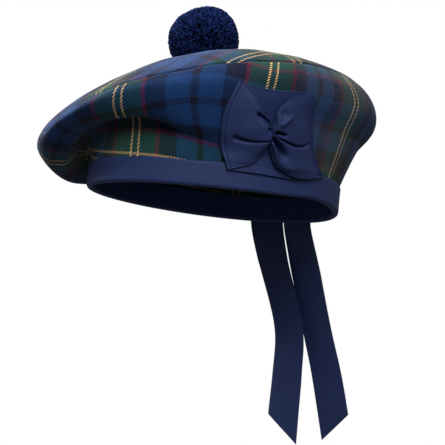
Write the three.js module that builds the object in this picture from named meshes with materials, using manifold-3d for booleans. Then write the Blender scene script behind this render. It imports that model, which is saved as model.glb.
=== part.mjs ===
// Balmoral bonnet, in millimetres: a soft tartan crown that droops to the wearer's right, a ribbon
// binding round the head opening, a ribbon cockade on the wearer's left, a wool toorie and two tails.
// +Z is up, -Y is the front and +X is the wearer's left. The origin is the middle of the head opening,
// level with the lower edge of the band. A turn runs from 0 at the front, by the wearer's left, to 1.

import * as THREE from 'three';
import { ParametricGeometry } from 'three/addons/geometries/ParametricGeometry.js';
import { mergeVertices } from 'three/addons/utils/BufferGeometryUtils.js';
import Module from 'manifold-3d';

// Head opening and cloth
const HEAD_LENGTH = 193;          // inside the band, front to back
const HEAD_WIDTH = 160;           // inside the band, side to side
const WOOL_WALL = 2;
const RIBBON_WALL = 1;
const SEAM_GAP = 0.3;             // clearance between pieces that are sewn together
const LAID_GAP = 0.5;             // clearance under a piece that is laid on a curved one

// Band: a ribbon folded up on both sides of the crown's lower edge
const ROLL_RADIUS = RIBBON_WALL + SEAM_GAP + WOOL_WALL / 2;
const BAND_INNER_TOP = 18;
const BAND_OUTWARD = 2 * ROLL_RADIUS;
const CROWN_OUTWARD = BAND_OUTWARD - RIBBON_WALL - SEAM_GAP;
const CROWN_EDGE = ROLL_RADIUS + 0.4;

// Crown: its middle, where the toorie is sewn, and its sections, one every 30 degrees from the front
// round by the wearer's left. A pair is [distance from the axis, height]: wall is the upright cloth
// over the band, fold the underside of the overhang, rim its widest place and shoulder where it turns
// onto the top. top is the height halfway from shoulder to middle, band the heights of the ribbon's
// lower and upper edge, which ride up a little over the wearer's left ear.
const CROWN_MIDDLE = new THREE.Vector3(-21, -1.5, 91.5);
const CROWN_SECTIONS = [
  { band: [0, 16], wall: [101, 41], fold: [112, 45], rim: [123, 59], shoulder: [101, 77], top: 92 },
  { band: [0, 16], wall: [96, 28], fold: [103, 38], rim: [113, 69], shoulder: [93, 91], top: 97 },
  { band: [1.2, 18.5], wall: [91, 34], fold: [97, 52], rim: [105, 74], shoulder: [89, 94], top: 98 },
  { band: [3.6, 21], wall: [88, 34], fold: [94, 52], rim: [103, 75], shoulder: [88, 95], top: 99 },
  { band: [1.4, 21], wall: [91, 32], fold: [98, 50], rim: [109, 71], shoulder: [95, 91], top: 97 },
  { band: [0, 19], wall: [99, 32], fold: [105, 46], rim: [117, 63], shoulder: [101, 84], top: 93 },
  { band: [0, 18], wall: [104, 30], fold: [111, 40], rim: [124, 54], shoulder: [106, 75], top: 89 },
  { band: [0, 17], wall: [99, 28], fold: [110, 28], rim: [127, 42], shoulder: [109, 66], top: 85 },
  { band: [0, 16], wall: [92, 26], fold: [106, 18], rim: [127, 33], shoulder: [110, 59], top: 82 },
  { band: [0, 16], wall: [89, 25], fold: [105, 10], rim: [127, 27], shoulder: [109, 54], top: 80 },
  { band: [0, 16], wall: [90, 26], fold: [106, 8], rim: [128, 25], shoulder: [111, 51], top: 80 },
  { band: [0, 16], wall: [97, 37], fold: [109, 33], rim: [126, 45], shoulder: [105, 63], top: 85 },
];
const TOP_SHARE = 0.5;            // the top line lies this far from the middle to the shoulder
const CAP_SHARE = 0.2;            // the line round the toorie's foot lies this far out
const CAP_SLOPE = 0.25;           // and this far up or down towards the top line
const FACETS_AROUND = 60;
const FACETS_PER_SPAN = 3;        // between two neighbouring lines of a section
const CROWN_SPANS = 7;
const CROWN_RINGS = 1 + CROWN_SPANS * FACETS_PER_SPAN;

// Cockade: its places are [degrees round from the front, rise along the cloth above the rise level]
const RISE_LEVEL = 15;
const PANEL = { lowerLeft: [37.5, -2], lowerRight: [90, 6], upperLeft: [36.5, 57], upperRight: [67, 57] };
const PANEL_FACETS = 8;
const BAND_STEP = RIBBON_WALL + SEAM_GAP;
const STEP_FADE = [1, 10];        // above the band's top, where the panel comes off it onto the crown
const BOW_PINCH = [52, 29];
const BOW_LEFT = { upper: [36, 57.5], middle: [31.5, 27], lower: [34.5, -2.5] };
const BOW_RIGHT = { upper: [67, 57.5], middle: [74, 27], lower: [89, 5] };
const PINCH_HALF_WIDTH = 4.5;
const BOW_LOFT = 6.5;             // how far the lobes puff up between the pinch and the sewn ends
const PINCH_LOFT = 2.5;
const EDGE_FALL = 0.4;           // the share of the puff that is lost at the ribbon's long edges
const FOLD_FADE_START = 0.3;     // share of a fold's reach at which it starts to fade
const BOW_FACETS = [18, 14];
// Folds of the bow: half is -1 on the left and 1 on the right, across runs from -1 at the lower edge to
// 1 at the upper one, reach is the share of the half that the fold runs along from the pinch
const BOW_FOLDS = [
  { half: -1, across: 0.36, depth: 4, spread: 0.13, reach: 0.55 },
  { half: -1, across: -0.3, depth: 4.5, spread: 0.12, reach: 0.95 },
  { half: 1, across: 0.62, depth: 3, spread: 0.14, reach: 0.4 },
  { half: 1, across: -0.02, depth: 3, spread: 0.1, reach: 0.5 },
  { half: 1, across: -0.34, depth: 4.5, spread: 0.12, reach: 1.1 },
  { half: 1, across: -0.72, depth: 4, spread: 0.14, reach: 0.6 },
];

// Toorie: a round head with locks of cut yarn standing out of it
const TOORIE_RADIUS = 24.2;
const TOORIE_HEAD_RADIUS = 20.8;
const LOCK_COUNT = 64;
const LOCK_LENGTH = 9;
const LOCK_ROOT_RADIUS = 2.2;
const LOCK_TIP_RADIUS = 4.4;
const LOCK_SIDES = 5;

// Tails: ribbons sewn flat on the back of the band. Each row is a point of the middle line, as its
// height, its place to the wearer's left and its distance behind the band's face.
const TAIL_WIDTH = 25;
const TAIL_TOP = 14;
const TAIL_FACETS = [3, 14];
const TAIL_CURL_FADE = 40;        // the band's curve fades out of the ribbon over this drop
const TAILS = [
  {
    name: 'tail_left', aside: 13, innerLength: 181, outerLength: 160,
    sway: [
      { height: -24, aside: 15.5, behind: 9 },
      { height: -76, aside: 21, behind: 32 },
      { height: -105, aside: 26, behind: 42.3 },
      { height: -133, aside: 30.6, behind: 49.2 },
      { height: -170, aside: 35.8, behind: 58 },
    ],
  },
  {
    name: 'tail_right', aside: -12.8, innerLength: 181, outerLength: 160,
    sway: [
      { height: -24, aside: -9, behind: 5.5 },
      { height: -78, aside: 0.7, behind: 25 },
      { height: -109, aside: 0.8, behind: 28.6 },
      { height: -140, aside: -0.5, behind: 31 },
      { height: -175, aside: -2, behind: 34 },
    ],
  },
];

const cloth = (color, roughness) => new THREE.MeshStandardMaterial({ color, roughness, metalness: 0 });
const tartanWool = cloth(0x1f3049, 0.95);
const navyRibbon = cloth(0x283353, 0.7);
const toorieYarn = cloth(0x0d1633, 1);

const bonnet = new THREE.Group();
bonnet.name = 'balmoral_bonnet';

const addPiece = (name, geometry, material) => {
  const piece = new THREE.Mesh(geometry, material);
  piece.name = name;
  bonnet.add(piece);
};

// Shared vertices, with the triangles that have shrunk to a line at a pole left out
const mergedSurface = (geometry) => {
  geometry.deleteAttribute('normal');
  geometry.deleteAttribute('uv');
  const merged = mergeVertices(geometry, 1e-3);
  const kept = [];
  for (let i = 0; i < merged.index.count; i += 3) {
    const [a, b, c] = [0, 1, 2].map((k) => merged.index.getX(i + k));
    if (a !== b && b !== c && c !== a) kept.push(a, b, c);
  }
  merged.setIndex(kept);
  merged.computeVertexNormals();
  return merged;
};

// A sheet of cloth: the surface, a second face one wall behind it, and walls along its open edges
const clothSolid = (surface, slices, stacks, wall) => {
  const front = mergedSurface(new ParametricGeometry(surface, slices, stacks));
  const { position, normal } = front.attributes;
  const count = position.count;
  const points = [...position.array];
  for (let i = 0; i < count; i++) {
    const point = new THREE.Vector3().fromBufferAttribute(position, i);
    const outward = new THREE.Vector3().fromBufferAttribute(normal, i);
    points.push(...point.addScaledVector(outward, -wall).toArray());
  }
  const triangles = [];
  const edges = new Set();
  const indices = front.index.array;
  for (let i = 0; i < indices.length; i += 3) {
    const corners = [indices[i], indices[i + 1], indices[i + 2]];
    const [a, b, c] = corners;
    triangles.push(a, b, c, count + a, count + c, count + b);
    corners.forEach((corner, k) => edges.add(`${corner} ${corners[(k + 1) % 3]}`));
  }
  for (const edge of edges) {
    const [a, b] = edge.split(' ').map(Number);
    if (!edges.has(`${b} ${a}`)) triangles.push(a, count + a, b, b, count + a, count + b);
  }
  const solid = new THREE.BufferGeometry();
  solid.setAttribute('position', new THREE.Float32BufferAttribute(points, 3));
  solid.setIndex(triangles);
  solid.computeVertexNormals();
  return solid;
};

const aroundAxis = (turn, distance, height) => {
  const angle = turn * 2 * Math.PI;
  return new THREE.Vector3(distance * Math.sin(angle), -distance * Math.cos(angle), height);
};

// Distance from the axis to the oval that runs the given way outside the head opening
const ovalDistance = (turn, outward) => {
  const angle = turn * 2 * Math.PI;
  const across = Math.sin(angle) / (HEAD_WIDTH / 2 + outward);
  const along = Math.cos(angle) / (HEAD_LENGTH / 2 + outward);
  return 1 / Math.hypot(across, along);
};

// A line right round the crown through one point of each section
const lineRound = (pointOf) => {
  const points = CROWN_SECTIONS.map((section, i) => pointOf(section, i / CROWN_SECTIONS.length));
  return new THREE.CatmullRomCurve3(points, true, 'catmullrom', 0.5);
};
const shoulderAt = (section, turn) => aroundAxis(turn, ...section.shoulder);
const bandFootLine = lineRound((section, turn) => aroundAxis(turn, HEAD_WIDTH / 2, section.band[0]));
const bandTopLine = lineRound((section, turn) => aroundAxis(turn, HEAD_WIDTH / 2, section.band[1]));
const crownLines = [
  lineRound((section, turn) => aroundAxis(turn, ...section.wall)),
  lineRound((section, turn) => aroundAxis(turn, ...section.fold)),
  lineRound((section, turn) => aroundAxis(turn, ...section.rim)),
  lineRound(shoulderAt),
  lineRound((section, turn) => {
    const point = CROWN_MIDDLE.clone().lerp(shoulderAt(section, turn), TOP_SHARE);
    return point.setZ(section.top);
  }),
  lineRound((section, turn) => {
    const point = CROWN_MIDDLE.clone().lerp(shoulderAt(section, turn), CAP_SHARE);
    return point.setZ(THREE.MathUtils.lerp(CROWN_MIDDLE.z, section.top, CAP_SLOPE));
  }),
];

const bandFoot = (turn) => bandFootLine.getPoint(turn % 1).z;
const bandTop = (turn) => bandTopLine.getPoint(turn % 1).z;
const crownFoot = (turn, height) => aroundAxis(turn, ovalDistance(turn, CROWN_OUTWARD), height);
const crownSpline = (turn) => {
  const linePoints = crownLines.map((line) => line.getPoint(turn % 1));
  const points = [crownFoot(turn, bandTop(turn)), ...linePoints, CROWN_MIDDLE];
  return new THREE.CatmullRomCurve3(points, false, 'centripetal');
};

// Crown: upright inside the band, then over the overhang to the middle of the top
const crownSurface = (turn, v, target) => {
  const ring = v * CROWN_RINGS;
  const edge = bandFoot(turn) + CROWN_EDGE;
  if (ring <= 1) target.copy(crownFoot(turn, THREE.MathUtils.lerp(edge, bandTop(turn), ring)));
  else crownSpline(turn).getPoint((ring - 1) / (CROWN_RINGS - 1), target);
};
addPiece('crown', clothSolid(crownSurface, FACETS_AROUND, CROWN_RINGS, WOOL_WALL), tartanWool);

// Band: down its inner leg, round the rolled lower edge and up its outer leg
const BAND_STEPS = { inner: 1, roll: 4, outer: 1 };
const bandStepCount = BAND_STEPS.inner + BAND_STEPS.roll + BAND_STEPS.outer;
const bandSurface = (turn, v, target) => {
  const step = v * bandStepCount;
  const rollTop = bandFoot(turn) + ROLL_RADIUS;
  let outward = 0;
  let height = THREE.MathUtils.lerp(BAND_INNER_TOP, rollTop, Math.min(step / BAND_STEPS.inner, 1));
  if (step > BAND_STEPS.inner) {
    const rolled = Math.min((step - BAND_STEPS.inner) / BAND_STEPS.roll, 1) * Math.PI;
    outward = ROLL_RADIUS * (1 - Math.cos(rolled));
    height = rollTop - ROLL_RADIUS * Math.sin(rolled);
  }
  const climbed = (step - BAND_STEPS.inner - BAND_STEPS.roll) / BAND_STEPS.outer;
  if (climbed > 0) height = THREE.MathUtils.lerp(rollTop, bandTop(turn), climbed);
  target.copy(aroundAxis(turn, ovalDistance(turn, outward), height));
};
addPiece('band', clothSolid(bandSurface, FACETS_AROUND, bandStepCount, RIBBON_WALL), navyRibbon);

// A point above the crown's cloth, by degrees round from the front and rise above the rise level
const aboveBand = (degrees, rise) => rise + RISE_LEVEL - bandTop(degrees / 360);
const onCloth = (degrees, rise) => {
  const turn = degrees / 360;
  const above = aboveBand(degrees, rise);
  if (above < 0) return crownFoot(turn, rise + RISE_LEVEL);
  const spline = crownSpline(turn);
  spline.arcLengthDivisions = 80;
  return spline.getPointAt(above / spline.getLength());
};
const NORMAL_REACH = 1.5;         // degrees, and millimetres of rise, to each side
const overCloth = ([degrees, rise], lift) => {
  const along = onCloth(degrees + NORMAL_REACH, rise).sub(onCloth(degrees - NORMAL_REACH, rise));
  const upward = onCloth(degrees, rise + NORMAL_REACH).sub(onCloth(degrees, rise - NORMAL_REACH));
  const outward = along.cross(upward).normalize();
  return onCloth(degrees, rise).addScaledVector(outward, lift);
};
const between = (a, b, share) => a.map((value, i) => THREE.MathUtils.lerp(value, b[i], share));
const panelLift = (degrees, rise) => {
  const onBand = 1 - THREE.MathUtils.smoothstep(aboveBand(degrees, rise), ...STEP_FADE);
  return LAID_GAP + RIBBON_WALL + BAND_STEP * onBand;
};

const panelSurface = (u, v, target) => {
  const lower = between(PANEL.lowerLeft, PANEL.lowerRight, u);
  const upper = between(PANEL.upperLeft, PANEL.upperRight, u);
  const place = between(lower, upper, v);
  target.copy(overCloth(place, panelLift(...place)));
};
addPiece('cockade_backing', clothSolid(panelSurface, PANEL_FACETS, PANEL_FACETS, RIBBON_WALL), navyRibbon);

// Bow: a ribbon as wide as the panel, drawn together at its middle. Its edges sweep in from the sewn
// ends as quarter ovals, and its folds run out from the pinch.
const throughMiddle = ({ upper, middle, lower }, across) => {
  const mean = between(lower, upper, (across + 1) / 2);
  const bulge = between(lower, upper, 0.5).map((value, i) => middle[i] - value);
  return mean.map((value, i) => value + bulge[i] * (1 - across * across));
};
const bowLoft = (half, out, across) => {
  const puff = Math.sin(Math.PI * Math.sqrt(out)) * (1 - EDGE_FALL * across * across);
  let loft = PINCH_LOFT * (1 - out) + BOW_LOFT * puff;
  for (const fold of BOW_FOLDS.filter((row) => row.half === half)) {
    const aside = (across - fold.across) / fold.spread;
    const fade = 1 - THREE.MathUtils.smoothstep(out, FOLD_FADE_START * fold.reach, fold.reach);
    loft -= fold.depth * fade * Math.exp(-aside * aside);
  }
  return Math.max(loft, 0);
};
const bowSurface = (u, v, target) => {
  const half = u < 0.5 ? -1 : 1;
  const out = Math.abs(2 * u - 1);
  const across = 2 * v - 1;
  const end = throughMiddle(half < 0 ? BOW_LEFT : BOW_RIGHT, across);
  const sweep = Math.sqrt(1 - (1 - out) ** 2);
  const degrees = THREE.MathUtils.lerp(BOW_PINCH[0], end[0], out);
  const rise = THREE.MathUtils.lerp(BOW_PINCH[1] + across * PINCH_HALF_WIDTH, end[1], sweep);
  const lift = panelLift(degrees, rise) + LAID_GAP + RIBBON_WALL + bowLoft(half, out, across);
  target.copy(overCloth([degrees, rise], lift));
};
addPiece('cockade_bow', clothSolid(bowSurface, ...BOW_FACETS, RIBBON_WALL), navyRibbon);

// Toorie: the head and its locks, joined into one body
const wasm = await Module();
wasm.setup();
const asManifold = (geometry) => {
  const merged = mergedSurface(geometry.index ? geometry : mergeVertices(geometry));
  const vertProperties = Float32Array.from(merged.attributes.position.array);
  const triVerts = Uint32Array.from(merged.index.array);
  return new wasm.Manifold(new wasm.Mesh({ numProp: 3, vertProperties, triVerts }));
};
const asGeometry = (manifold) => {
  const mesh = manifold.getMesh();
  const geometry = new THREE.BufferGeometry();
  geometry.setAttribute('position', new THREE.BufferAttribute(mesh.vertProperties, 3));
  geometry.setIndex(new THREE.BufferAttribute(mesh.triVerts, 1));
  geometry.computeVertexNormals();
  return geometry;
};
const goldenTurn = Math.PI * (3 - Math.sqrt(5));
let toorie = asManifold(new THREE.IcosahedronGeometry(TOORIE_HEAD_RADIUS, 3));
for (let i = 0; i < LOCK_COUNT; i++) {
  const upward = 1 - (2 * i + 1) / LOCK_COUNT;
  const outward = new THREE.Vector3().setFromSphericalCoords(1, Math.acos(upward), i * goldenTurn);
  const lock = new THREE.CylinderGeometry(LOCK_TIP_RADIUS, LOCK_ROOT_RADIUS, LOCK_LENGTH, LOCK_SIDES);
  lock.translate(0, TOORIE_RADIUS - LOCK_LENGTH / 2, 0);
  lock.applyQuaternion(new THREE.Quaternion().setFromUnitVectors(new THREE.Vector3(0, 1, 0), outward));
  toorie = toorie.add(asManifold(lock));
}
const toorieGeometry = asGeometry(toorie);
toorieGeometry.translate(CROWN_MIDDLE.x, CROWN_MIDDLE.y, CROWN_MIDDLE.z + TOORIE_RADIUS + LAID_GAP);
addPiece('toorie', toorieGeometry, toorieYarn);

// Tails: the ribbon lies round the back of the band, then hangs clear and flattens
const tailOutward = BAND_OUTWARD + SEAM_GAP + RIBBON_WALL;
const bandBack = (aside) => {
  const share = aside / (HEAD_WIDTH / 2 + tailOutward);
  return (HEAD_LENGTH / 2 + tailOutward) * Math.sqrt(1 - share * share);
};
for (const { name, aside, innerLength, outerLength, sway } of TAILS) {
  const backY = bandBack(aside);
  const points = [TAIL_TOP, TAIL_TOP / 2, 1].map((height) => new THREE.Vector3(aside, backY, height));
  points.push(...sway.map((row) => new THREE.Vector3(row.aside, backY + row.behind, row.height)));
  const middleLine = new THREE.CatmullRomCurve3(points, false, 'centripetal');
  const reach = middleLine.getLength();
  const tailSurface = (u, v, target) => {
    const side = u - 0.5;
    const towardsMiddle = 0.5 - Math.sign(aside) * side;
    const length = THREE.MathUtils.lerp(outerLength, innerLength, towardsMiddle);
    const point = middleLine.getPointAt(Math.min((v * length) / reach, 1));
    const curl = 1 - THREE.MathUtils.smoothstep(-point.z, 0, TAIL_CURL_FADE);
    const bandCurve = bandBack(aside + side * TAIL_WIDTH) - backY;
    target.set(point.x + side * TAIL_WIDTH, point.y + bandCurve * curl, point.z);
  };
  addPiece(name, clothSolid(tailSurface, ...TAIL_FACETS, RIBBON_WALL), navyRibbon);
}

export default bonnet;
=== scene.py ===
import math

import bmesh
import bpy
import numpy as np
from mathutils import Matrix, Vector


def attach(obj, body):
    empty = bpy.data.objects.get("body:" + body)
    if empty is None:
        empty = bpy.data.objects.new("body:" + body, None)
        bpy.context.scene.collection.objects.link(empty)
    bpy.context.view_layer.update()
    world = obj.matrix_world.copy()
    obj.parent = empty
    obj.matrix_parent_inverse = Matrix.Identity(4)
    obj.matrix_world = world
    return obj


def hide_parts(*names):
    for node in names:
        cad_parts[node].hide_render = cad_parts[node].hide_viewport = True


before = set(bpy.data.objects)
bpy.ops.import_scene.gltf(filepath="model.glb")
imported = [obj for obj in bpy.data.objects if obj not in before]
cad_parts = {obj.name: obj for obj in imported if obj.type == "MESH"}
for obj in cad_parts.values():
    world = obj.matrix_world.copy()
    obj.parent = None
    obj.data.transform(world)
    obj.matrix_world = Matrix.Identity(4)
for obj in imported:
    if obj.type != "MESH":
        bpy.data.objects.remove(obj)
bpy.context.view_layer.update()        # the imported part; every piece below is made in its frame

mm = 0.001  # the tables below are in millimetres, Blender works in metres
mmPerCm = 10  # the ribbons' cloth coordinates are in centimetres
print("frame loaded:", ", ".join(sorted(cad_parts)))

# The view of the photo, worked out from the band's oval and the crown's outline
view = {
    "azimuth": 31.4,  # degrees from the front, towards the wearer's left
    "elevation": -6.7,
    "roll": 5.85,
    "distance": 1700,
    "pixelsPerMm": 1.4135,  # at the distance of the origin
    "originPixel": (213.2, 202.5),
    "imageSize": 445,
    "sensorWidth": 36,
}


def directionFrom(azimuth, elevation):
    around, above = math.radians(azimuth), math.radians(elevation)
    flat = math.cos(above)
    return Vector((math.sin(around) * flat, -math.cos(around) * flat, math.sin(above)))


def addObject(name, data):
    made = bpy.data.objects.new(name, data)
    bpy.context.scene.collection.objects.link(made)
    return made


def placeCamera():
    back = directionFrom(view["azimuth"], view["elevation"])
    right = Vector((0, 0, 1)).cross(back).normalized()
    up = back.cross(right)
    roll = math.radians(view["roll"])
    imageRight = right * math.cos(roll) + up * math.sin(roll)
    imageUp = up * math.cos(roll) - right * math.sin(roll)
    size = view["imageSize"]
    data = bpy.data.cameras.new("photoCamera")
    data.sensor_width = view["sensorWidth"]
    data.lens = data.sensor_width * view["distance"] * view["pixelsPerMm"] / size
    data.shift_x = 0.5 - view["originPixel"][0] / size
    data.shift_y = view["originPixel"][1] / size - 0.5
    camera = addObject("photoCamera", data)
    turned = Matrix((imageRight, imageUp, back)).transposed().to_4x4()
    camera.matrix_world = Matrix.Translation(back * view["distance"] * mm) @ turned
    bpy.context.scene.camera = camera


placeCamera()
print("camera placed")

# Finishes. Colours are written as they look on a screen, 0 to 255. A mottle is the scale of its clouds,
# the scale of its flecks and its strength. A surface holds settings of the shader.
wool = {
    "colours": {
        "dark": (22, 24, 44),
        "blue": (23, 54, 99),
        "navy": (17, 23, 46),
        "red": (84, 26, 46),
        "green": (26, 62, 56),
        "yellow": (198, 166, 114),
    },
    # the half sett from its dark middle to the gap between the yellow lines, in yarns
    "halfSett": [
        ("dark", 4), ("blue", 26), ("navy", 22), ("red", 5),
        ("green", 21), ("yellow", 2.5), ("green", 3.5),
    ],
    "twillRepeat": 4,  # yarns from one rib of the twill to the next
    "relief": 0.2,  # of the twill
    "warpShare": 0.45,  # how much of the face its warp covers
    "ribLightAndShade": 0.5,  # painted shade on its weft between the ribs of the warp, and painted light on the ribs
    "surface": {
        "Roughness": 0.9, "Specular IOR Level": 0.08, "Sheen Weight": 0.14, "Sheen Roughness": 0.25,
    },
    "mottle": (2.2, 60.0, 0.9),
}
halfSettYarns = sum(count for colour, count in wool["halfSett"])
ribbon = {
    "ridge": (38, 51, 93),
    # the grooves' colour is painted shade between the ribs
    "groove": (30, 41, 78),
    "ribPitch": 0.62,
    "relief": 0.05,
    "surface": {"Roughness": 0.6, "Specular IOR Level": 0.15},
    "mottle": (0.9, 60.0, 0.3),
}
yarn = {
    # near black at the roots: painted shade deep among the strands
    "root": (2, 4, 14),
    "end": (36, 56, 114),
    "surface": {"Roughness": 1.0, "Specular IOR Level": 0.02},
    "mottle": (3.0, 90.0, 0.6),
}
thread = {
    "colour": (14, 18, 34),
    "surface": {"Roughness": 0.6, "Specular IOR Level": 0.1},
    "mottle": (2.0, 40.0, 0.4),
}


def linearColour(colour):
    def linear(value):
        value /= 255
        return value / 12.92 if value <= 0.04045 else ((value + 0.055) / 1.055) ** 2.4
    return tuple(linear(value) for value in colour) + (1.0,)


def addNode(tree, kind, **settings):
    node = tree.nodes.new("ShaderNode" + kind)
    for key, value in settings.items():
        setattr(node, key, value)
    return node


def feed(tree, socket, value):
    if isinstance(value, (int, float, tuple)):
        socket.default_value = value
    else:
        tree.links.new(value, socket)


def calculate(tree, operation, *values):
    node = addNode(tree, "Math", operation=operation)
    for socket, value in zip(node.inputs, values):
        feed(tree, socket, value)
    return node.outputs[0]


def mixColours(tree, factor, first, second, blend="MIX"):
    node = addNode(tree, "Mix", data_type="RGBA", blend_type=blend)
    colourInputs = [socket for socket in node.inputs if socket.type == "RGBA"]
    for socket, value in zip([node.inputs[0]] + colourInputs, (factor, first, second)):
        feed(tree, socket, value)
    return next(socket for socket in node.outputs if socket.type == "RGBA")


def newGroup(name, inputs, outputs):
    group = bpy.data.node_groups.new(name, "ShaderNodeTree")
    for way, sockets in (("INPUT", inputs), ("OUTPUT", outputs)):
        for socket, kind in sockets.items():
            group.interface.new_socket(socket, in_out=way, socket_type="NodeSocket" + kind)
    return group, group.nodes.new("NodeGroupInput").outputs, group.nodes.new("NodeGroupOutput").inputs


def makeFibreMottle():
    # uneven dye and lint: a soft cloud and a fine speckle, as a factor round 1
    parts = [("Cloud Scale", 3.0, 0.6), ("Fleck Scale", 1.0, 1.0)]  # scale, detail and share
    inputs = {"Vector": "Vector", "Amount": "Float", "Cloud Scale": "Float", "Fleck Scale": "Float"}
    group, given, result = newGroup("fibreMottle", inputs, {"Shade": "Float"})
    swing = 0.0
    for scale, detail, share in parts:
        noise = addNode(group, "TexNoise")
        noise.inputs["Detail"].default_value = detail
        feed(group, noise.inputs["Vector"], given["Vector"])
        feed(group, noise.inputs["Scale"], given[scale])
        centred = calculate(group, "SUBTRACT", noise.outputs["Fac"], 0.5)
        swing = calculate(group, "MULTIPLY_ADD", centred, share, swing)
    feed(group, result["Shade"], calculate(group, "MULTIPLY_ADD", swing, given["Amount"], 1.0))
    return group


def makeSettStripe():
    # the colour of a yarn by its place: the sett runs back and forth between its two middles
    inputs, outputs = {"Place": "Float"}, {"Colour": "Color"}
    group, given, result = newGroup("settStripe", inputs, outputs)
    ramp = addNode(group, "ValToRGB")
    ramp.color_ramp.interpolation = "CONSTANT"
    stops = ramp.color_ramp.elements
    stops.remove(stops[1])
    start = 0.0
    for colour, count in wool["halfSett"]:
        stop = stops.new(start / halfSettYarns) if start else stops[0]
        stop.color = linearColour(wool["colours"][colour])
        start += count
    feed(group, ramp.inputs["Fac"], calculate(group, "PINGPONG", given["Place"], 1.0))
    feed(group, result["Colour"], ramp.outputs["Color"])
    return group


fibreMottle = makeFibreMottle()
settStripe = makeSettStripe()


def newMaterial(name, surface):
    material = bpy.data.materials.new(name)
    material.use_nodes = True
    shader = material.node_tree.nodes["Principled BSDF"]
    for socket, value in surface.items():
        shader.inputs[socket].default_value = value
    return material, material.node_tree, shader


def clothCoordinates(tree):
    coordinates = addNode(tree, "UVMap", uv_map="cloth")
    split = addNode(tree, "SeparateXYZ")
    feed(tree, split.inputs["Vector"], coordinates.outputs["UV"])
    return coordinates.outputs["UV"], split.outputs["X"], split.outputs["Y"]


# the base colour with a mottle of uneven dye; the colours given to it carry the painted shade of the
# twill, the ribbon's grooves and the toorie's roots
def mottledBaseColour(tree, shader, vector, colour, finish):
    mottle = addNode(tree, "Group", node_tree=fibreMottle)
    sockets = ("Vector", "Cloud Scale", "Fleck Scale", "Amount")
    for socket, value in zip(sockets, (vector, *finish["mottle"])):
        feed(tree, mottle.inputs[socket], value)
    mottled = mixColours(tree, 1.0, colour, mottle.outputs["Shade"], "MULTIPLY")
    feed(tree, shader.inputs["Base Color"], mottled)


def bumpInto(tree, shader, height, distance):
    bump = addNode(tree, "Bump")
    bump.inputs["Distance"].default_value = distance * mm
    feed(tree, bump.inputs["Height"], height)
    feed(tree, shader.inputs["Normal"], bump.outputs["Normal"])


def makeTartanWool():
    # a two and two twill: each crossing shows its warp or its weft yarn, one step on in every row
    material, tree, shader = newMaterial("tartanWool", wool["surface"])
    vector, warpPlace, weftPlace = clothCoordinates(tree)
    colours = []
    counts = []
    rounds = []
    for place in (warpPlace, weftPlace):
        stripe = addNode(tree, "Group", node_tree=settStripe)
        feed(tree, stripe.inputs["Place"], place)
        colours.append(stripe.outputs["Colour"])
        count = calculate(tree, "MULTIPLY", place, float(halfSettYarns))
        counts.append(count)
        halfTurn = calculate(tree, "MULTIPLY", calculate(tree, "FRACT", count), math.pi)
        rounds.append(calculate(tree, "SINE", halfTurn))
    warpYarn = calculate(tree, "FLOOR", counts[0])
    apart = calculate(tree, "SUBTRACT", warpYarn, counts[1])
    step = calculate(tree, "MULTIPLY", apart, 1 / wool["twillRepeat"])
    weftOver = calculate(tree, "GREATER_THAN", calculate(tree, "FRACT", step), wool["warpShare"])
    # painted light and shade of the twill: the warp's ribs lighter, the weft between them darker
    depth = calculate(tree, "MULTIPLY_ADD", weftOver, -wool["ribLightAndShade"], 1 + wool["ribLightAndShade"] / 2)
    woven = mixColours(tree, 1.0, mixColours(tree, weftOver, *colours), depth, "MULTIPLY")
    mottledBaseColour(tree, shader, vector, woven, wool)
    warpOver = calculate(tree, "SUBTRACT", 1.0, weftOver)
    warpHeight = calculate(tree, "MULTIPLY", rounds[0], warpOver)
    height = calculate(tree, "MULTIPLY_ADD", rounds[1], weftOver, warpHeight)
    bumpInto(tree, shader, height, wool["relief"])
    return material


def makeNavyRibbon():
    # fine ribs across the ribbon, with painted shade darkening the grooves between them; its cloth
    # coordinates are in centimetres, the first runs along it
    material, tree, shader = newMaterial("navyRibbon", ribbon["surface"])
    vector, along = clothCoordinates(tree)[:2]
    turns = calculate(tree, "MULTIPLY", along, 2 * math.pi * mmPerCm / ribbon["ribPitch"])
    wave = calculate(tree, "SINE", turns)
    ridge = calculate(tree, "MULTIPLY_ADD", wave, 0.5, 0.5)
    # painted shade: a darker colour in the grooves between the ribs
    base = mixColours(tree, ridge, linearColour(ribbon["groove"]), linearColour(ribbon["ridge"]))
    mottledBaseColour(tree, shader, vector, base, ribbon)
    bumpInto(tree, shader, ridge, ribbon["relief"])
    return material


def makeToorieYarn():
    # the first coordinate is each strand's own tone, the second runs from its root to its cut end; the
    # colour darkens to near black towards the root, painted shade deep among the strands
    material, tree, shader = newMaterial("toorieYarn", yarn["surface"])
    vector, tone, along = clothCoordinates(tree)
    # each strand's own tone, times painted shade that darkens towards its root
    toneAndRootShade = calculate(tree, "MULTIPLY", tone, along)
    base = mixColours(tree, toneAndRootShade, linearColour(yarn["root"]), linearColour(yarn["end"]))
    mottledBaseColour(tree, shader, vector, base, yarn)
    return material


def makeNavyThread():
    material, tree, shader = newMaterial("navyThread", thread["surface"])
    mottledBaseColour(tree, shader, clothCoordinates(tree)[0], linearColour(thread["colour"]), thread)
    return material


slotMaterials = {
    "tartan_wool": makeTartanWool(),
    "navy_ribbon": makeNavyRibbon(),
    "toorie_yarn": makeToorieYarn(),
}
navyThread = makeNavyThread()
print("finishes made")


# Lines and sheets
lineSteps = 24  # between two neighbouring points of a smooth line


def stacked(*values):
    return np.stack(np.broadcast_arrays(*values), axis=-1)


def smoothstep(value, low, high):
    share = np.clip((np.asarray(value, float) - low) / (high - low), 0, 1)
    return share * share * (3 - 2 * share)


def unit(vectors):
    return vectors / np.maximum(np.linalg.norm(vectors, axis=-1, keepdims=True), 1e-9)


def hump(value, width):
    return np.exp(-((value / width) ** 2))


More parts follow.
